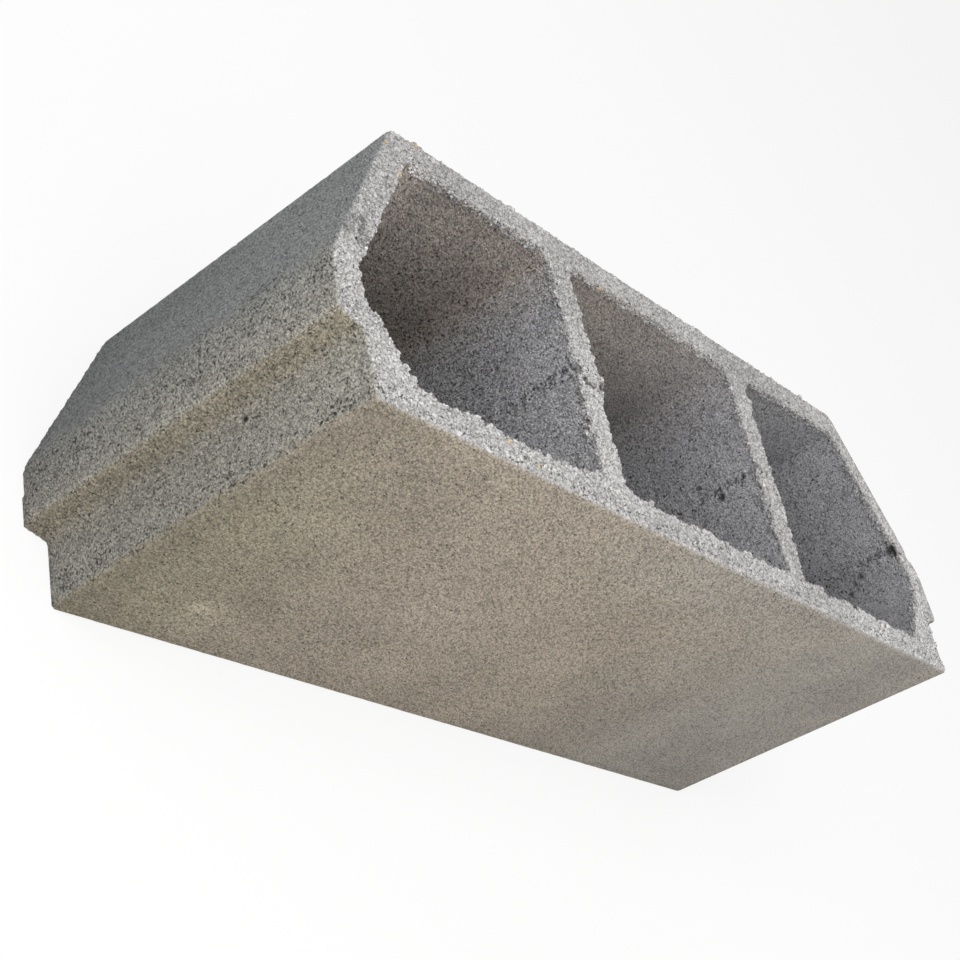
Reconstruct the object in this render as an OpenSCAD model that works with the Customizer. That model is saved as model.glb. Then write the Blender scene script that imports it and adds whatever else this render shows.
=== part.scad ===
/* [Block] */
// Height of the block as it is laid in a floor, from its soffit to its top
block_h = 200; // [180:1:260]
// Length of the block along its cells, which is upright here
block_len = 235; // [150:1:400]
// Width of the flat soffit
soffit_w = 600; // [560:1:700]
// Width of the flat top
top_w = 490; // [430:1:540]
// Rounding of the two long arrises of the soffit
soffit_r = 2; // [1:0.5:6]
// Rounding of the two long arrises of the top
top_r = 10; // [2:1:20]

/* [Bearing nibs] */
// Height of the plain side below the bearing ledge
side_h = 40; // [32:1:52]
// Reach of the nib past the plain side
ledge_reach = 16; // [12:0.5:24]
// Rise of the bearing ledge from its root to its tip
ledge_rise = 5.5; // [2:0.5:10]
// Height of the nib's face above the tip of the ledge
nib_h = 37; // [28:1:46]
// Distance that the nib's face leans inwards over its height
nib_lean = 2; // [0.5:0.5:5]
// Rounding at the root of the bearing ledge
ledge_root_r = 3; // [1:0.5:5]
// Rounding at the tip of the bearing ledge
ledge_tip_r = 4; // [1:0.5:6]
// Rounding between the nib's face and the sloping shoulder
shoulder_r = 24; // [5:1:40]

/* [Walls] */
// Thickness of the soffit slab
soffit_t = 20; // [15:0.5:28]
// Thickness of the top slab
top_t = 20; // [15:0.5:28]
// Thickness of each web
web_t = 20; // [14:0.5:28]
// Thickness of the sloping shoulder wall, square to its face
shoulder_t = 17.5; // [14:0.5:24]
// Width of the solid toe between the plain side and the floor of the outer cell
toe_w = 36; // [28:1:50]

/* [Cells] */
// Clear width of the middle cell
middle_cell_w = 180; // [150:1:200]
// Height of the widest line of the outer cells above the soffit
knee_h = 70; // [64:1:90]
// Rounding of the cells along the soffit slab
cell_floor_r = 5; // [3:0.5:12]
// Rounding of the cells along the top slab, beside the webs
cell_roof_r = 12; // [3:0.5:16]
// Rounding of the outer cells under the top of the shoulder
cell_shoulder_r = 6; // [3:0.5:16]
// Rounding of the outer cells at their widest line
cell_knee_r = 25; // [8:1:32]

/* [Hidden] */
// Straight steps in each rounded corner
arc_steps = 8;
// Overrun of the cells past the two ends
overrun = 1;
concrete = [0.70, 0.69, 0.66];

// Heights are measured up from the soffit and widths out from the middle plane
soffit_x = soffit_w / 2;
top_x = top_w / 2;
nib_tip_x = soffit_x + ledge_reach;
nib_tip_h = side_h + ledge_rise;
nib_top_x = nib_tip_x - nib_lean;
nib_top_h = nib_tip_h + nib_h;
web_inner_x = middle_cell_w / 2;
web_outer_x = web_inner_x + web_t;
roof_h = block_h - top_t;

// The shoulder's slope: run inwards for each unit of rise, and its wall measured level
shoulder_run = (nib_top_x - top_x) / (block_h - nib_top_h);
shoulder_level_t = shoulder_t * sqrt(1 + shoulder_run * shoulder_run);
function shoulder_inside_x(h) = top_x + (block_h - h) * shoulder_run - shoulder_level_t;

// Corners of the right half of the section, each with its rounding
right_corners = [
    [[soffit_x, 0], soffit_r],
    [[soffit_x, side_h], ledge_root_r],
    [[nib_tip_x, nib_tip_h], ledge_tip_r],
    [[nib_top_x, nib_top_h], shoulder_r],
    [[top_x, block_h], top_r],
];

// Corners of the outer cell on the right, each with its rounding
outer_cell_corners = [
    [[web_outer_x, soffit_t], cell_floor_r],
    [[soffit_x - toe_w, soffit_t], cell_floor_r],
    [[shoulder_inside_x(knee_h), knee_h], cell_knee_r],
    [[shoulder_inside_x(roof_h), roof_h], cell_shoulder_r],
    [[web_outer_x, roof_h], cell_roof_r],
];

// Corners of the middle cell, each with its rounding
middle_cell_corners = [
    [[-web_inner_x, soffit_t], cell_floor_r],
    [[web_inner_x, soffit_t], cell_floor_r],
    [[web_inner_x, roof_h], cell_roof_r],
    [[-web_inner_x, roof_h], cell_roof_r],
];

// The same corners on the other side of the middle plane, in the same turning sense
function mirrored(corners) = [
    for (i = [len(corners) - 1 : -1 : 0])
        [[-corners[i][0][0], corners[i][0][1]], corners[i][1]]
];

function unit(v) = v / norm(v);
function turned(v, angle) = [
    v[0] * cos(angle) - v[1] * sin(angle),
    v[0] * sin(angle) + v[1] * cos(angle)
];
// Angle by which the outline turns at a corner, positive to the left
function turn_at(along, onwards) =
    atan2(along[0] * onwards[1] - along[1] * onwards[0], along * onwards);

// Points of the arc that rounds one corner between its two neighbours
function arc(before, corner, after) =
    let (
        along = unit(corner[0] - before[0]),
        turn = turn_at(along, unit(after[0] - corner[0])),
        radius = corner[1],
        start = corner[0] - along * radius * tan(abs(turn) / 2),
        to_centre = turned(along, 90) * sign(turn) * radius
    )
    [for (i = [0 : arc_steps]) start + to_centre - turned(to_centre, turn * i / arc_steps)];

// Outline with every corner rounded to its own radius
module rounded_outline(corners) {
    n = len(corners);
    polygon([
        for (i = [0 : n - 1])
            each arc(corners[(i + n - 1) % n], corners[i], corners[(i + 1) % n])
    ]);
}

// Right through the block from end to end
module cell(corners) {
    translate([0, 0, -overrun])
        linear_extrude(block_len + 2 * overrun)
            rounded_outline(corners);
}

// Pressed concrete in one piece, standing on one end with its cells upright
module floor_block() {
    color(concrete)
        translate([0, -block_h / 2, 0])
            difference() {
                linear_extrude(block_len)
                    rounded_outline(concat(right_corners, mirrored(right_corners)));
                cell(middle_cell_corners);
                cell(outer_cell_corners);
                cell(mirrored(outer_cell_corners));
            }
}

floor_block();
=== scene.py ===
import math
import random

import bmesh
import bpy
import numpy as np
from mathutils import Matrix, Vector
from mathutils.bvhtree import BVHTree


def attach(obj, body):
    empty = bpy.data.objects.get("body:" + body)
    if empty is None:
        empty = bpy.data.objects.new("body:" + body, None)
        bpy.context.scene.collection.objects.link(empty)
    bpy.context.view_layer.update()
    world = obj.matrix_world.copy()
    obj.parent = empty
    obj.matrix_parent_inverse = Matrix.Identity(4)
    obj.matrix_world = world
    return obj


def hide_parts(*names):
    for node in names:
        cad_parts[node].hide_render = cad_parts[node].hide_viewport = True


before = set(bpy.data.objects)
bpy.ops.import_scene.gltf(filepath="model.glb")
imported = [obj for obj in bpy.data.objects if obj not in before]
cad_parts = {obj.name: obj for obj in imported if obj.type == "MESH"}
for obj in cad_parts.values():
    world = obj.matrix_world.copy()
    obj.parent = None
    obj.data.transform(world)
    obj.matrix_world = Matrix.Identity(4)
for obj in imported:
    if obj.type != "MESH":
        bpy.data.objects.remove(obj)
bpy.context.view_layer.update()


# The block as it leaves the press: a nearly dry mix of cement and 1 to 3 mm grit, rammed upright
# in a steel mould. The steel leaves the long faces flat, and the ends and the rims of the cells,
# where the mould opens, stay ragged. Its section is the CAD node's.
MM = 0.001
block_length = 235 * MM
half_height = 100 * MM

cad_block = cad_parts["floor_block"]
bpy.ops.object.select_all(action="DESELECT")
block = bpy.data.objects.new("concrete_block", cad_block.data.copy())
bpy.context.scene.collection.objects.link(block)
block.data.materials.clear()
block.select_set(True)
bpy.context.view_layer.objects.active = block
bpy.ops.object.mode_set(mode="EDIT")
bpy.ops.mesh.select_all(action="SELECT")
bpy.ops.mesh.remove_doubles(threshold=0.01 * MM)
bpy.ops.object.mode_set(mode="OBJECT")


def skin_of(piece, wanted):
    """A search tree of the piece's faces that pass the test."""
    faces = [tuple(face.vertices) for face in piece.data.polygons if wanted(face)]
    return BVHTree.FromPolygons([v.co.copy() for v in piece.data.vertices], faces)


def is_upright(face):
    return abs(face.normal.z) < 0.5


def is_outside(face):
    """True for the block's outer skin and false for a cell's wall, which faces the cell's middle."""
    middle = face.center
    cell_x = 0.0 if abs(middle.x) < 95 * MM else math.copysign(185 * MM, middle.x)
    to_cell = Vector((cell_x - middle.x, -middle.y, 0))
    return face.normal.dot(to_cell) < 0


outer_skin = skin_of(block, lambda face: is_upright(face) and is_outside(face))
cell_skin = skin_of(block, lambda face: is_upright(face) and not is_outside(face))


# Chips knocked out of the rims and out of the seam half way up the webs, where the mix was filled
# in two layers, and lumps that the mould dragged out beside them. The chips are cut out with rough
# stones; the lumps are pressed on as rough stones and melted into the block by the remesh.
draw = random.Random(11)


def rough_stone(name, spot, radius):
    """A stone of about this radius, as a start for a lump or a chip."""
    bpy.ops.mesh.primitive_ico_sphere_add(subdivisions=2, radius=radius, location=spot)
    stone = bpy.context.object
    stone.name = name
    stone.rotation_euler = [draw.uniform(0, math.tau) for _ in range(3)]
    stone.scale = [draw.uniform(0.75, 1.25) for _ in range(3)]
    bpy.ops.object.mode_set(mode="EDIT")
    bpy.ops.transform.vertex_random(offset=radius * 0.25, seed=draw.randrange(1000))
    bpy.ops.object.mode_set(mode="OBJECT")
    return stone


def joined(first, others):
    """The first object with the others joined into it."""
    bpy.ops.object.select_all(action="DESELECT")
    for piece in [first] + others:
        piece.select_set(True)
    bpy.context.view_layer.objects.active = first
    bpy.ops.object.join()
    return first


def in_block(x, up, down):
    """A place in metres, from millimetres across, above the soffit and below the upper end."""
    return (x * MM, up * MM - half_height, block_length - down * MM)


# x, height above the soffit, depth below the upper end and radius, in millimetres, and for the
# chips how much painted shade darkens them inside
chips = [
    # The left web: a bite out of its rim, the crack below it and the broken line across its end
    (-111.5, 97, 0.5, 3.6, 0.7), (-107.5, 98, 0.5, 2.8, 0.6), (-111, 98.5, 4, 2.6, 0.9),
    (-111, 99, 8, 2.4, 0.95), (-110.5, 100, 12, 2.2, 0.95), (-110.5, 100.5, 16, 2, 0.9),
    (-110.5, 101, 20, 2, 0.8), (-110.5, 98, 29, 2, 0.8), (-103, 90.5, 0.3, 3.2, 0.75),
    (-99, 89, 0.3, 2.8, 0.75), (-95, 87.5, 0.3, 2.6, 0.7), (-88, 91, 1, 3.4, 0.8),
    # The seam of the right web, in the middle cell
    (91, 102, 1, 2.8, 0.6), (90, 99, 12, 2.4, 0.7), (90, 99, 18, 2, 0.7), (90, 101, 24, 1.8, 0.7),
    (89.5, 93, 31, 3.2, 0.8), (90, 99, 31, 1.8, 0.6), (90, 107, 45, 2.2, 0.7),
    # The widest line of the right cell
    (285, 97, 4, 4.6, 0.85), (284, 95, 9, 3.8, 0.8), (284.5, 98, 14, 2.6, 0.6),
    (284.5, 98, 21, 2.4, 0.6), (289, 91, 34, 2.4, 0.6), (290.5, 88, 40, 2, 0.6),
    (293, 83, 47, 2.2, 0.6), (306.5, 97, 0, 5.5, 0.3),
    # The crumbled patch of the end at the left shoulder
    (-297, 109, 0, 2.6, 0.35), (-285, 115, 0, 2.8, 0.35), (-291, 113, 0, 2.4, 0.35),
    (-288, 106, 0, 2.6, 0.4), (-299, 103, 0, 2.6, 0.3), (-282, 104, 0.5, 3, 0.4),
    (-293, 99, 0, 2.4, 0.3), (-302, 114, 0.5, 2.4, 0.3), (-288, 97, 0.5, 2.4, 0.35),
    (-294, 105, 0, 2.2, 0.3), (-284, 109, 0, 2.2, 0.3), (-296, 116, 0, 2.2, 0.3),
    # A hole in the plain left side
    (-300, 35, 82, 1.8, 0.95),
]
worn_rims = [
    # The rims of the cells along the soffit slab
    (-207, 21, -1, 4.5), (-197, 21, -1, 5.5), (-187, 21, -1, 6), (-177, 21, -1, 5.5),
    (-166, 21, -1, 5), (-156, 21, -0.5, 4.5), (-252, 20.5, 0, 4), (-246, 21, 0, 4),
    (19, 20.5, -0.5, 4), (31, 20.5, -1, 4.5), (43, 20.5, -1, 4.5), (142, 20.5, -1, 5),
    (153, 21, -0.5, 4.5), (178, 20.5, -0.5, 4.5), (206, 20.5, -1, 5),
    # The corners of the left nib and of the top
    (-322, 75, 0, 3), (-244, 203, 1, 3),
]
lumps = [
    # Along the top
    (-228, 198, 4, 3.6), (-219, 198.5, 3.5, 4), (-209, 198, 4, 3.6), (-196, 198, 4, 3.6),
    (-185, 197.5, 4, 3.4), (-170, 197.5, 4, 3), (-150, 197.5, 4, 3), (65, 199, 3.5, 3.8),
    # On the webs, most of them beside the seam
    (-88.5, 113, 3.5, 4), (-89, 106, 3.5, 3.2), (-88.5, 99, 3.5, 4.2), (-87, 95.5, 3, 3.6),
    (111, 106, 4, 3.6), (111, 99, 4, 3), (113, 160, 3, 3),
    # On the rim of the left cell, and at the foot of the left nib
    (-118, 21, 3.5, 4), (-128, 19.5, 3.5, 3.5), (-292, 52, 3, 2.6), (-268, 27, 3, 2.6),
    (-315, 48, 215, 2.6), (-314, 46, 221, 2.6), (-316, 50, 226, 2.4),
]
chip_stones = [
    rough_stone("chip", in_block(x, up, down), radius * MM)
    for x, up, down, radius, *_ in chips + worn_rims
]
lump_stones = [
    rough_stone("lump", in_block(x, up, down), radius * MM)
    for x, up, down, radius in lumps
]
chip_tool = joined(chip_stones[0], chip_stones[1:])
bpy.ops.object.select_all(action="DESELECT")
block.select_set(True)
bpy.context.view_layer.objects.active = block
cut = block.modifiers.new("chips", "BOOLEAN")
cut.object = chip_tool
cut.operation = "DIFFERENCE"
cut.solver = "EXACT"
cut.use_self = True
bpy.ops.object.modifier_apply(modifier=cut.name)
bpy.data.objects.remove(chip_tool)
joined(block, lump_stones)
skin_step = 1.5 * MM
remesh = block.modifiers.new("one skin", "REMESH")
remesh.mode = "VOXEL"
remesh.voxel_size = skin_step
bpy.ops.object.modifier_apply(modifier=remesh.name)


# The skin of the pressed concrete: the grain of the faces that lay against the steel, the ragged
# rims where the mould opens, and pits where the mix didn't close. Each zone is roughened by a
# noise of its own grain, and the mesh is then thinned where it is plain.
points = np.empty(len(block.data.vertices) * 3)
block.data.vertices.foreach_get("co", points)
points = points.reshape(-1, 3)


def distance_to(skin, spots):
    return np.array([skin.find_nearest(spot)[3] for spot in spots])


def fade(values, full, none):
    """1 where the value has reached full, 0 where it has reached none, smooth between."""
    t = np.clip((np.asarray(values) - none) / (full - none), 0, 1)
    return t * t * (3 - 2 * t)


weight_steps = 32


def weigh(piece, name, weights):
    """A vertex group with one weight per vertex, in even steps."""
    group = piece.vertex_groups.new(name=name)
    nearest = np.round(np.asarray(weights) * weight_steps).astype(int)
    for step in range(1, weight_steps + 1):
        group.add(np.nonzero(nearest == step)[0].tolist(), step / weight_steps, "REPLACE")


seam_y = -3 * MM
from_outside = distance_to(outer_skin, points)
from_cells = distance_to(cell_skin, points)
from_ends = np.minimum(points[:, 2], block_length - points[:, 2])
upper = fade(points[:, 2], block_length, 0.4 * block_length) * 0.7 + 0.3
# The rims are most ragged at the upper end, less along the top slab, and crisp outside at the right
near_cell_rim = fade(np.hypot(from_cells, from_ends), 2 * MM, 8 * MM) * upper
near_cell_rim *= 1 - 0.4 * fade(points[:, 1], 74 * MM, 60 * MM)
near_outer_rim = fade(np.hypot(from_outside, from_ends), 1 * MM, 4 * MM) * upper
crisp_rim = fade(points[:, 0], 250 * MM, 220 * MM)
near_outer_rim *= 1 - 0.85 * crisp_rim
on_end = fade(from_ends, 0.5 * MM, 2.5 * MM)
on_cell = fade(from_cells, 1 * MM, 3 * MM) * (1 - on_end)
on_outside = fade(from_outside, 1 * MM, 3 * MM) * (1 - on_end)
on_soffit = on_outside * fade(points[:, 1], -99 * MM, -97 * MM)
on_seam = fade(np.abs(points[:, 1] - seam_y), 2 * MM, 8 * MM) * on_cell
weigh(block, "cell rims", near_cell_rim)
weigh(block, "outer rims", near_outer_rim)
weigh(block, "ends", on_end * upper * (1 - 0.8 * crisp_rim * fade(from_outside, 2 * MM, 6 * MM)))
weigh(block, "cell walls", on_cell)
weigh(block, "sides", on_outside * (1 - on_soffit))
weigh(block, "soffit", on_soffit)
weigh(block, "seam", on_seam * fade(points[:, 2], 190 * MM, 110 * MM))
# The chips and the upper end keep all their faces when the mesh is thinned
in_chips = np.zeros(len(points))
for x, up, down, radius, _ in chips:
    from_chip = np.linalg.norm(points - np.array(in_block(x, up, down)), axis=1)
    in_chips = np.maximum(in_chips, fade(from_chip, radius * MM, 2 * radius * MM))
near_upper_end = fade(points[:, 2], block_length - 4 * MM, block_length - 10 * MM)
weigh(block, "keep", np.maximum(in_chips, near_upper_end))


def roughen(piece, group, grain, depth, middle=0.5, open_share=None):
    """Moves the skin along its normals by a noise of this grain size, within the vertex group.
    With an open share, only that lowest part of the noise counts, as pits."""
    noise = bpy.data.textures.new(group + " grain", "CLOUDS")
    noise.noise_scale = grain
    noise.noise_depth = 1
    if open_share:
        noise.use_color_ramp = True
        ramp = noise.color_ramp.elements
        ramp[0].position = open_share * 0.75
        ramp[0].color = (0, 0, 0, 1)
        ramp[1].position = open_share
        ramp[1].color = (1, 1, 1, 1)
    relief = piece.modifiers.new(group + " relief", "DISPLACE")
    relief.texture = noise
    relief.texture_coords = "LOCAL"
    relief.strength = depth
    relief.mid_level = middle
    relief.vertex_group = group
    bpy.ops.object.modifier_apply(modifier=relief.name)


roughen(block, "cell rims", 14 * MM, 3.5 * MM, 0.55)
roughen(block, "cell rims", 4.5 * MM, 3 * MM)
roughen(block, "outer rims", 5 * MM, 1.0 * MM)
roughen(block, "ends", 4 * MM, 1.2 * MM, 0.6)
roughen(block, "cell walls", 4 * MM, 0.25 * MM)
roughen(block, "cell walls", 4.5 * MM, 0.8 * MM, 1.0, 0.34)
roughen(block, "sides", 4 * MM, 0.3 * MM)
roughen(block, "sides", 4.5 * MM, 1.0 * MM, 1.0, 0.34)
roughen(block, "soffit", 6 * MM, 0.12 * MM, 0.6)
roughen(block, "seam", 5 * MM, 4 * MM, 0.62)

most_triangles = 195000
triangles = sum(len(face.vertices) - 2 for face in block.data.polygons)
thin = block.modifiers.new("fewer faces", "DECIMATE")
thin.ratio = min(1.0, most_triangles / triangles)
thin.vertex_group = "keep"
thin.invert_vertex_group = True
bpy.ops.object.modifier_apply(modifier=thin.name)
bpy.ops.object.vertex_group_remove(all=True)

# The end that the block stands on is pressed flat on the floor
floor_touch = 0.3 * MM
bpy.ops.object.mode_set(mode="EDIT")
bpy.ops.mesh.select_mode(type="VERT")
bpy.ops.mesh.select_all(action="DESELECT")
bpy.ops.object.mode_set(mode="OBJECT")
for vertex in block.data.vertices:
    vertex.select = vertex.co.z < floor_touch
bpy.ops.object.mode_set(mode="EDIT")
bpy.ops.transform.resize(value=(1, 1, 0), center_override=(0, 0, 0))
bpy.ops.object.mode_set(mode="OBJECT")
bpy.ops.object.shade_smooth()
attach(block, "root")
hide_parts("floor_block")


# The grit that stands out of the open upper end and crumbles over the rims of its cells:
# crushed stone of 1 to 3 mm, held in the cement by its lower half. A few stones are tan.
shape_count = 8
stone_shapes = []
for shape in range(shape_count):
    bpy.ops.object.select_all(action="DESELECT")
    bpy.ops.mesh.primitive_cube_add(size=1.3)
    bpy.ops.object.mode_set(mode="EDIT")
    bpy.ops.transform.vertex_random(offset=0.32, seed=shape + 1)
    bpy.ops.transform.resize(value=(1.2, 1.0, 0.85))
    bpy.ops.mesh.quads_convert_to_tris()
    bpy.ops.object.mode_set(mode="OBJECT")
    stone_shapes.append(bpy.context.object)

# The stones lie all over the end, closest along the rims of the cells. They keep back from the
# outer rim, further at the right, apart from a few along the top.
grit_depth = 9 * MM
bare_rim = 2 * MM
bare_rim_right = 6 * MM
end_faces = []
for face in block.data.polygons:
    middle = face.center
    if middle.z < block_length - grit_depth:
        continue
    faces_up = face.normal.z > 0.5
    from_cell_rim = math.hypot(cell_skin.find_nearest(middle)[3], block_length - middle.z)
    at_right = middle.x > 230 * MM and middle.y > -60 * MM
    share = 0.0
    if outer_skin.find_nearest(middle)[3] < (bare_rim_right if at_right else bare_rim):
        if middle.y > 95 * MM and faces_up:
            share = 0.04
    elif faces_up:
        share = 1.6 if from_cell_rim < 4 * MM else 1.0
    elif from_cell_rim < 5 * MM:
        share = 1.1
    if share:
        end_faces.append((face, face.area * share))

grit_mesh = bmesh.new()
stone_tones = []


def set_stone(shape, spot, spin, size, tone, tan):
    """Sets a copy of the shape into the end, with its own tone, and tan as 1 for a tan stone."""
    stone = shape.data.copy()
    stone.transform(Matrix.Translation(spot) @ spin @ Matrix.Scale(size, 4))
    grit_mesh.from_mesh(stone)
    stone_tones.extend([(tone, tan)] * len(stone.vertices))
    bpy.data.meshes.remove(stone)


stone_count = 14000
usual_size = 0.9
largest_size = 1.9
spots = draw.choices(
    [face for face, _ in end_faces], weights=[share for _, share in end_faces], k=stone_count
)
for face in spots:
    corners = [block.data.vertices[i].co for i in face.vertices]
    parts = sorted([draw.random(), draw.random()])
    spot = corners[0] * parts[0] + corners[1] * (parts[1] - parts[0]) + corners[2] * (1 - parts[1])
    size = min(draw.lognormvariate(math.log(usual_size), 0.35), largest_size) * MM
    turn = draw.uniform(0, math.tau)
    tilt = draw.uniform(0, math.tau)
    spin = Matrix.Rotation(turn, 4, "Z") @ Matrix.Rotation(tilt, 4, "X")
    lift = face.normal * size * draw.uniform(-0.5, 0.15)
    tone = draw.uniform(-0.5, 0.5)
    at = (spot.x / MM, (spot.y + half_height) / MM, (block_length - spot.z) / MM)
    if any(math.dist(at, chip[:3]) < chip[3] * 1.1 for chip in chips):
        continue
    shape = stone_shapes[draw.randrange(shape_count)]
    set_stone(shape, spot + lift, spin, size, tone, 0.0)

# Tan stones: x and height above the soffit, in millimetres
tan_spots = [(-225, 198), (-252, 185), (-246, 166), (-199, 14), (-176, 7), (-58, 177)]
for x, up in tan_spots:
    shape = stone_shapes[draw.randrange(shape_count)]
    spin = Matrix.Rotation(draw.uniform(0, math.tau), 4, "Z")
    size = draw.uniform(1.7, 2.1) * MM
    set_stone(shape, Vector(in_block(x, up, 0)), spin, size, 0.0, 1.0)
for stone in stone_shapes:
    bpy.data.objects.remove(stone)
grit_data = bpy.data.meshes.new("end_grit")
grit_mesh.to_mesh(grit_data)
grit_mesh.free()
grit = bpy.data.objects.new("end_grit", grit_data)
bpy.context.scene.collection.objects.link(grit)
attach(grit, "root")


# Pressed concrete, dry and unsealed: light grey grit in grey cement, matt all over. The open
# ends show the pale grit. The soffit and the ledges are painted tan for the warm light on the side
# they face, and the gaps between the grains and the pits are painted dark for the shade in them.
def linear(code):
    """The linear colour of an sRGB hex value."""
    parts = [int(code[i : i + 2], 16) / 255 for i in (1, 3, 5)]
    return [p / 12.92 if p <= 0.04045 else ((p + 0.055) / 1.055) ** 2.4 for p in parts] + [1.0]


def add_node(tree, kind, inputs, **settings):
    """A node with its settings, and its inputs by name or number: a value, or a socket to link from."""
    made = tree.nodes.new(kind)
    for name, value in settings.items():
        setattr(made, name, value)
    for key, value in inputs.items():
        if isinstance(value, bpy.types.NodeSocket):
            tree.links.new(value, made.inputs[key])
        else:
            made.inputs[key].default_value = value
    return made


# Smears and patches on the soffit: x, height above the floor, half length, half width in
# millimetres, turn in degrees, and how much lighter or darker
smears = [
    (-231, 41, 13, 6, 20, 0.5), (-209, 58, 18, 12, 0, -0.1), (-234, 226, 14, 5, 0, 0.12),
    (-195, 223, 14, 5, 0, 0.12), (-230, 147, 22, 10, 30, 0.08), (-151, 151, 50, 30, 20, 0.1),
    (-90, 131, 9, 7, 0, -0.12), (-82, 67, 60, 14, 10, -0.1), (221, 108, 40, 20, 0, 0.05),
    (-47, 230, 6, 4, 0, 0.15), (-195, 26, 45, 18, 0, 0.12), (10, 215, 90, 26, 10, 0.08),
    (110, 75, 40, 80, 0, -0.12), (-170, 80, 40, 50, 0, 0.05),
]

# Open patches of the left side, where the mix didn't close: height above the soffit, depth below
# the upper end, half height and half length in millimetres
open_patches = [
    (8, 28, 9, 18), (7, 92, 9, 16), (4, 165, 6, 12), (14, 222, 15, 10), (55, 72, 5, 12), (74, 8, 8, 10),
    (92, 52, 9, 18), (88, 95, 7, 14), (30, 150, 8, 16), (12, 195, 8, 10),
]


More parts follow.
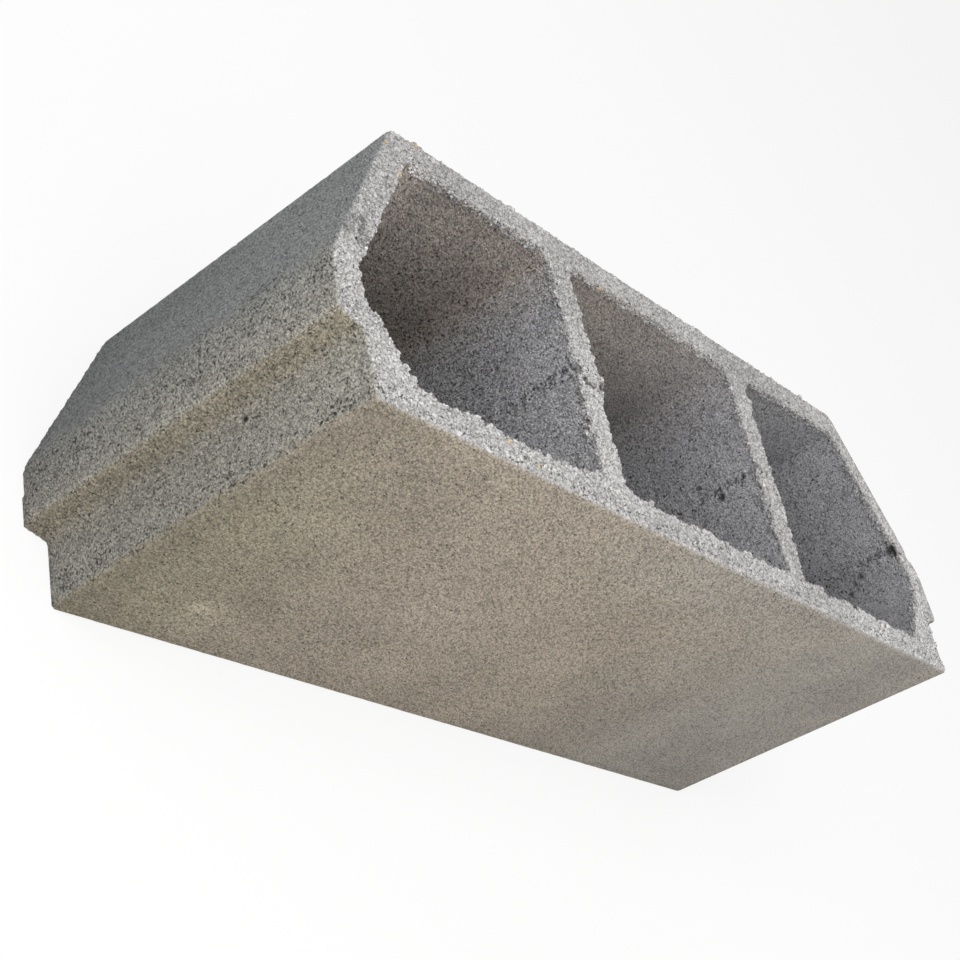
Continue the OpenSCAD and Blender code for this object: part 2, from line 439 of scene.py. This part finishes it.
def mark_zones(piece, extra):
    """Point attributes that say which part of the casting each point of the piece belongs to."""
    spots = np.empty(len(piece.data.vertices) * 3)
    piece.data.vertices.foreach_get("co", spots)
    spots = spots.reshape(-1, 3)
    outside = distance_to(outer_skin, spots)
    near_cell = [cell_skin.find_nearest(spot) for spot in spots]
    cells = np.array([found[3] for found in near_cell])
    facing_down = np.array([-found[1].y for found in near_cell])
    ends = np.minimum(spots[:, 2], block_length - spots[:, 2])
    x = spots[:, 0]
    up = spots[:, 1] + half_height
    down = block_length - spots[:, 2]
    far = np.clip(1 - spots[:, 2] / block_length, 0, 1)
    outer = fade(outside - cells, -2 * MM, 2 * MM)
    end_face = fade(ends - np.minimum(outside, cells), -1.0 * MM, 0.5 * MM)
    ragged = np.random.default_rng(5).uniform(-1.5 * MM, 1.5 * MM, len(x))
    soffit = outer * np.maximum(fade(up, 0.5 * MM, 2 * MM), fade(up + ragged, 1 * MM, 5 * MM))
    side = outer * (1 - soffit)
    above_arris = fade(up, 2.5 * MM, 1 * MM)

    # The chips are painted dark inside, for the shade in them
    chip_shade = np.zeros(len(x))
    for at_x, at_up, at_down, radius, dark in chips:
        from_chip = np.linalg.norm(spots - np.array(in_block(at_x, at_up, at_down)), axis=1)
        chip_shade = np.maximum(chip_shade, dark * fade(from_chip / (radius * MM), 0.7, 1.25))

    # The soffit's smears and patches, and painted light: the soffit is palest at the middle of its
    # upper edge and darkens towards the floor that the block stands on
    smeared = np.zeros(len(x))
    for at_x, at_z, half_long, half_wide, turn, amount in smears:
        along = math.cos(math.radians(turn))
        across = math.sin(math.radians(turn))
        to_x = x / MM - at_x
        to_z = spots[:, 2] / MM - at_z
        reach = np.hypot(
            (to_x * along + to_z * across) / half_long, (to_z * along - to_x * across) / half_wide
        )
        smeared += amount * fade(reach, 0.2, 1.6)
    soffit_tone = 1.13 - 0.19 * far - 0.17 * ((x + 20 * MM) / (280 * MM)) ** 2 + smeared
    soffit_tone += 0.1 * fade(x, 300 * MM, 230 * MM) - 0.12 * fade(x, -295 * MM, -255 * MM)

    # Painted shade: the sides darken towards the floor that the block stands on, the shoulders more,
    # and their arrises are pale
    on_shoulder = fade(up, 110 * MM, 70 * MM)
    side_tone = 1.12 - 0.06 * fade(up, 80 * MM, 50 * MM) - (0.24 + 0.1 * on_shoulder) * far
    side_tone *= 1 - 0.04 * fade(np.abs(up - 72 * MM), 8 * MM, 25 * MM)
    side_tone *= 1 + 0.12 * fade(np.abs(up - 48.5 * MM), 1.5 * MM, 3.5 * MM)
    side_tone *= 1 + 0.12 * fade(np.abs(up - 2.5 * MM), 1 * MM, 3 * MM)
    opened = np.zeros(len(x))
    for at_up, at_down, half_up, half_along in open_patches:
        reach = np.hypot((up / MM - at_up) / half_up, (down / MM - at_down) / half_along)
        opened = np.maximum(opened, fade(reach, 0.5, 1.3) * fade(x, -290 * MM, -240 * MM))

    # Painted shade and light in the cells: they darken towards their middle, where less light
    # reaches, and are darker in the middle and right cells; the wall under the left shoulder and the
    # foot of the right cell's outer wall are painted paler
    roof = fade(facing_down, 0.8, 0.3)
    under_roof = fade(facing_down, 0.7, 0.0)
    left_wall = fade(x, -230 * MM, -200 * MM)
    left_cell = fade(x, -110 * MM, -90 * MM)
    toe_wall = fade(x, 285 * MM, 260 * MM) * fade(up, 60 * MM, 90 * MM)
    cell_tone = 1.17 - 0.33 * fade(ends, 100 * MM, 10 * MM)
    cell_tone *= 1 - 0.16 * fade(x, 230 * MM, 100 * MM)
    cell_tone *= 1 - 0.07 * fade(x, -90 * MM, -110 * MM)
    cell_tone *= 1 + 0.38 * left_wall + roof * (0.12 * fade(np.abs(x), 60 * MM, 110 * MM) - 0.08)
    cell_tone *= 1 + 0.12 * toe_wall

    # The end darkens along the top, along the left shoulder and in its crumbled patch
    end_tone = 1.2 - 0.15 * fade(up, 180 * MM, 140 * MM) + 0.05 * fade(x, 250 * MM, 150 * MM)
    end_tone -= 0.12 * fade(x, -255 * MM, -235 * MM) * fade(up, 125 * MM, 105 * MM)
    end_tone -= 0.25 * fade(
        np.hypot((x + 291 * MM) / 15, (up - 107 * MM) / 11), 0.3 * MM, 1.3 * MM
    )

    tone = (1 - outer) * cell_tone + outer * (soffit * soffit_tone + (1 - soffit) * side_tone)
    at_ledge = fade(up, 46 * MM, 49 * MM) * fade(up, 38 * MM, 30 * MM)

    # How far each point belongs to each zone, its tone, and how harsh its sand and how pitted it is
    zones = {
        "end_face": end_face,
        "cell_wall": 1 - outer,
        # Painted bounce light: the part of each cell that faces the soffit side is tinted warm
        "roof_warm_bounce": (1 - outer) * fade(x, -80 * MM, 240 * MM) * np.maximum(
            under_roof * fade(up, 130 * MM, 75 * MM), 0.6 * fade(up, 182 * MM, 140 * MM)
        ),
        "soffit": soffit,
        "soffit_olive": soffit * fade(x, -290 * MM, -140 * MM) * (0.3 + 0.7 * fade(far, 0.5, 0.1)),
        "soffit_grey": soffit * np.maximum(
            fade(x, 230 * MM, 10 * MM), 0.8 * fade(far, 0.0, 0.35) * fade(x, 60 * MM, -160 * MM)
        ),
        "ledge": outer * fade(np.abs(x), 307 * MM, 297 * MM) * at_ledge,
        # Painted shade: the shoulders, which face away from the light, get a darker, bluer grey
        "shoulder": outer * fade(up, 110 * MM, 52 * MM),
        "tone": (tone * (1 - end_face) + end_tone * end_face) * (1 - chip_shade),
        "harsh": np.maximum.reduce([
            soffit * (1.05 - 0.28 * fade(x, 200 * MM, 50 * MM)),
            side * (1.3 - 0.1 * on_shoulder),
            (1 - outer) * (1.15 - 0.1 * under_roof + 0.25 * left_cell) * (1 - 0.45 * toe_wall),
        ]) * (1 - 0.5 * end_face),
        "pitted": np.maximum.reduce([
            outer * fade(up, 80 * MM, 120 * MM) * (0.45 + 0.2 * fade(up, 3 * MM, 20 * MM)) * above_arris,
            outer * 0.6 * fade(np.abs(up - 66 * MM), 14 * MM, 22 * MM),
            outer * 0.85 * opened * above_arris,
            (1 - outer) * (0.4 + (0.12 + 0.15 * left_cell) * fade(ends, 65 * MM, 25 * MM)),
            (1 - outer) * 0.8 * fade(np.abs(spots[:, 1] - seam_y), 2 * MM, 10 * MM),
            np.full(len(x), 0.15),
        ]),
        **extra,
    }
    for name, values in zones.items():
        zone = piece.data.attributes.new(name, "FLOAT", "POINT")
        zone.data.foreach_set("value", np.asarray(values, dtype=np.float32))


stone_tones = np.array(stone_tones)
mark_zones(block, {})
mark_zones(grit, {
    "grit": np.ones(len(stone_tones)),
    "own_tone": stone_tones[:, 0],
    "tan_stone": stone_tones[:, 1],
})

concrete = bpy.data.materials.new("pressed concrete")
concrete.use_nodes = True
tree = concrete.node_tree
tree.nodes.clear()
place = add_node(tree, "ShaderNodeTexCoord", {}).outputs["Object"]
# A grain that stands proud looks round on a face seen at a slant, and a flat pattern doesn't, so the
# grains are drawn longer along the slant on which the block is most often seen
slant = Vector((0.72, 0.5, -0.48)).to_track_quat("X", "Z").to_euler()
grain_place = add_node(
    tree, "ShaderNodeMapping", {"Vector": place, "Rotation": slant, "Scale": (3, 1, 1)},
    vector_type="TEXTURE",
).outputs[0]

# Each zone's colour is laid over the last. Inputs that share a name go by number: a Mix node has
# its values at 2 and 3 and its colours at 6 and 7, and Map Range goes from 1 and 2 to 3 and 4.
zone_colours = [
    # Painted warm light: the soffit and the ledge are tan for the light on the side they face
    ("shoulder", "#969899"), ("ledge", "#A19988"), ("soffit", "#B4A899"),
    # Painted light: the cell walls are a cool grey for the shade in the cells, and their roofs warm for
    # light bounced onto them
    ("soffit_olive", "#B0A792"), ("soffit_grey", "#AFA9A0"), ("cell_wall", "#B0AFB2"),
    ("roof_warm_bounce", "#A79E96"), ("end_face", "#C1BFBD"), ("grit", "#C3C1C0"),
    ("tan_stone", "#C4B69E"),
]
zone_marks = {}
for name in [name for name, _ in zone_colours] + ["tone", "own_tone", "harsh", "pitted"]:
    zone_marks[name] = add_node(
        tree, "ShaderNodeAttribute", {}, attribute_name=name
    ).outputs["Fac"]
colour = linear("#A7A49B")
for name, code in zone_colours:
    colour = add_node(
        tree, "ShaderNodeMix", {0: zone_marks[name], 6: colour, 7: linear(code)}, data_type="RGBA"
    ).outputs[2]

# Sand of 0.7 and 1.3 mm, grain against grain: each grain has its own tone, the gaps are painted dark
# for the shade in them, and where a grain has dropped out there is a round hole, painted dark. The
# finer sand is drawn at twice its size.
layers = []
for size, in_gap, spread in ((1.25 * MM, 0.66, 0.12), (0.7 * MM, 0.72, 0.18)):
    grains = add_node(tree, "ShaderNodeTexVoronoi", {"Vector": grain_place, "Scale": 1 / size})
    lot = add_node(tree, "ShaderNodeSeparateColor", {0: grains.outputs["Color"]})
    between = add_node(
        tree, "ShaderNodeMapRange",
        {"Value": grains.outputs["Distance"], 1: 0.4, 2: 0.85, 3: 1.11, 4: in_gap},
        interpolation_type="SMOOTHSTEP",
    ).outputs[0]
    own = add_node(
        tree, "ShaderNodeMapRange", {"Value": lot.outputs[0], 3: 1 - spread, 4: 1 + spread}
    ).outputs[0]
    dropped = add_node(
        tree, "ShaderNodeMapRange", {"Value": lot.outputs[1], 1: 0.82, 3: 0.0, 4: 1.0}
    ).outputs[0]
    socket = add_node(
        tree, "ShaderNodeMapRange",
        {"Value": grains.outputs["Distance"], 1: 0.25, 2: 0.65, 3: 0.9, 4: 0.0},
        interpolation_type="SMOOTHSTEP",
    ).outputs[0]
    dark = add_node(tree, "ShaderNodeMath", {0: dropped, 1: socket}, operation="MULTIPLY").outputs[0]
    left = add_node(tree, "ShaderNodeMath", {0: 1.0, 1: dark}, operation="SUBTRACT").outputs[0]
    layers.extend([between, own, left])
sand = layers[0]
for layer in layers[1:]:
    sand = add_node(tree, "ShaderNodeMath", {0: sand, 1: layer}, operation="MULTIPLY").outputs[0]
sand = add_node(tree, "ShaderNodeMath", {0: sand, 1: zone_marks["harsh"]}, operation="POWER").outputs[0]
cloud_size = 60 * MM
cloud = add_node(
    tree, "ShaderNodeTexNoise", {"Vector": place, "Scale": 1 / cloud_size, "Detail": 3.0}
)
cloud = add_node(
    tree, "ShaderNodeMapRange", {"Value": cloud.outputs["Fac"], 1: 0.3, 2: 0.7, 3: 0.9, 4: 1.1}
).outputs[0]
own_tone = add_node(
    tree, "ShaderNodeMapRange", {"Value": zone_marks["own_tone"], 1: -0.5, 2: 0.5, 3: 0.86, 4: 1.13}
).outputs[0]

# On the open ends the grit lies packed grain against grain, with the gap between grains painted dark for
# its shade
grit_size = 2.2 * MM
grain = add_node(tree, "ShaderNodeTexVoronoi", {"Vector": place, "Scale": 1 / grit_size})
grain = add_node(tree, "ShaderNodeSeparateColor", {0: grain.outputs["Color"]}).outputs[0]
grain = add_node(tree, "ShaderNodeMapRange", {"Value": grain, 3: 0.82, 4: 1.18}).outputs[0]
gap = add_node(
    tree, "ShaderNodeTexVoronoi", {"Vector": place, "Scale": 1 / grit_size},
    feature="DISTANCE_TO_EDGE",
)
gap = add_node(
    tree, "ShaderNodeMapRange", {"Value": gap.outputs["Distance"], 1: 0.0, 2: 0.2, 3: 0.42, 4: 1.08}
).outputs[0]
packed = add_node(tree, "ShaderNodeMath", {0: grain, 1: gap}, operation="MULTIPLY").outputs[0]
packed = add_node(tree, "ShaderNodeMix", {0: zone_marks["end_face"], 2: 1.0, 3: packed}).outputs[0]
packed = add_node(tree, "ShaderNodeMix", {0: zone_marks["grit"], 2: packed, 3: 1.0}).outputs[0]
fine = add_node(tree, "ShaderNodeMath", {0: sand, 1: packed}, operation="MULTIPLY").outputs[0]

# Pits of about 2 mm, where the mix didn't close, painted dark for the shade in them: more of the noise
# counts where a zone is pitted
pit_size = 1.9 * MM
hole = add_node(
    tree, "ShaderNodeTexNoise",
    {"Vector": place, "W": 3.0, "Scale": 1 / pit_size, "Detail": 1.0, "Distortion": 0.4},
    noise_dimensions="4D",
)
limit = add_node(
    tree, "ShaderNodeMapRange", {"Value": zone_marks["pitted"], 3: 0.26, 4: 0.48}
).outputs[0]
below = add_node(
    tree, "ShaderNodeMath", {0: hole.outputs["Fac"], 1: limit}, operation="SUBTRACT"
).outputs[0]
hole = add_node(
    tree, "ShaderNodeMapRange", {"Value": below, 1: -0.05, 2: 0.01, 3: 0.25, 4: 1.0}
).outputs[0]
shade = own_tone
for layer in (fine, cloud, hole, zone_marks["tone"]):
    shade = add_node(tree, "ShaderNodeMath", {0: shade, 1: layer}, operation="MULTIPLY").outputs[0]
colour = add_node(
    tree, "ShaderNodeMix", {0: 1.0, 6: colour, 7: shade}, data_type="RGBA", blend_type="MULTIPLY"
).outputs[2]

grain_relief = 0.35 * MM
relief = add_node(tree, "ShaderNodeMath", {0: fine, 1: hole}, operation="MULTIPLY").outputs[0]
bump = add_node(
    tree, "ShaderNodeBump", {"Height": relief, "Distance": grain_relief, "Strength": 1.0}
).outputs[0]
surface = add_node(
    tree, "ShaderNodeBsdfPrincipled",
    {"Base Color": colour, "Roughness": 0.92, "Normal": bump, "IOR": 1.5},
)
add_node(tree, "ShaderNodeOutputMaterial", {"Surface": surface.outputs[0]})
block.data.materials.append(concrete)
grit.data.materials.append(concrete)


# The floor that the block stands on: a plain white studio sheet. The camera sees it white, and
# it keeps the block's soft shadow.
floor_side = 16
glow_share = 0.78
bpy.ops.mesh.primitive_plane_add(size=floor_side)
floor = bpy.context.object
floor.name = "floor"
paper = bpy.data.materials.new("white studio paper")
paper.use_nodes = True
tree = paper.node_tree
tree.nodes.clear()
path = add_node(tree, "ShaderNodeLightPath", {})
matt = add_node(tree, "ShaderNodeBsdfDiffuse", {"Color": linear("#C8C8C6")})
white = add_node(tree, "ShaderNodeBsdfDiffuse", {"Color": linear("#FFFFFF")})
glow = add_node(tree, "ShaderNodeEmission", {"Color": (1, 1, 1, 1), "Strength": 1.0})
seen = add_node(
    tree, "ShaderNodeMixShader", {0: glow_share, 1: white.outputs[0], 2: glow.outputs[0]}
)
either = add_node(
    tree, "ShaderNodeMixShader",
    {0: path.outputs["Is Camera Ray"], 1: matt.outputs[0], 2: seen.outputs[0]},
)
add_node(tree, "ShaderNodeOutputMaterial", {"Surface": either.outputs[0]})
floor.data.materials.append(paper)


# Soft studio light: a broad box overhead and a broad one in front of the soffit, in an even
# pale room. The upper end is the brightest face and the shoulders the darkest.
def soft_box(name, at, aim, side, watts):
    lamp = bpy.data.lights.new(name, "AREA")
    lamp.shape = "SQUARE"
    lamp.size = side
    lamp.energy = watts
    box = bpy.data.objects.new(name, lamp)
    box.location = at
    box.rotation_euler = (Vector(aim) - Vector(at)).to_track_quat("-Z", "Y").to_euler()
    bpy.context.scene.collection.objects.link(box)


soft_box("overhead box", (-1.3, -0.4, 2.2), (0, 0, 0.1), 2.0, 36)
soft_box("soffit box", (-0.4, -2.2, 1.3), (0, 0, 0.15), 1.8, 12)

room = bpy.data.worlds.new("pale room")
bpy.context.scene.world = room
room.use_nodes = True
tree = room.node_tree
tree.nodes.clear()
path = add_node(tree, "ShaderNodeLightPath", {})
level = add_node(
    tree, "ShaderNodeMapRange", {"Value": path.outputs["Is Camera Ray"], 3: 0.5, 4: 1.0}
).outputs[0]
walls = add_node(tree, "ShaderNodeBackground", {"Color": (1, 1, 1, 1), "Strength": level})
add_node(tree, "ShaderNodeOutputWorld", {"Surface": walls.outputs[0]})


# The camera: a short telephoto lens that looks down on the upper end, the soffit and the left
# side, rolled so that the standing block looks laid, as in the photograph.
lens = bpy.data.cameras.new("camera")
lens.sensor_width = 36
lens.lens = 64.424
camera = bpy.data.objects.new("camera", lens)
bpy.context.scene.collection.objects.link(camera)
camera_at = Vector((-826.8, -533.4, 630.7)) * MM
looks_at = Vector((-202.5, -100.0, 215.5)) * MM
roll = math.radians(59.35)
level_view = (looks_at - camera_at).to_track_quat("-Z", "Y").to_matrix()
rolled_view = level_view @ Matrix.Rotation(roll, 3, "Z")
camera.matrix_world = Matrix.Translation(camera_at) @ rolled_view.to_4x4()
bpy.context.scene.camera = camera
bpy.context.scene.view_settings.view_transform = "Standard"

bpy.context.view_layer.update()
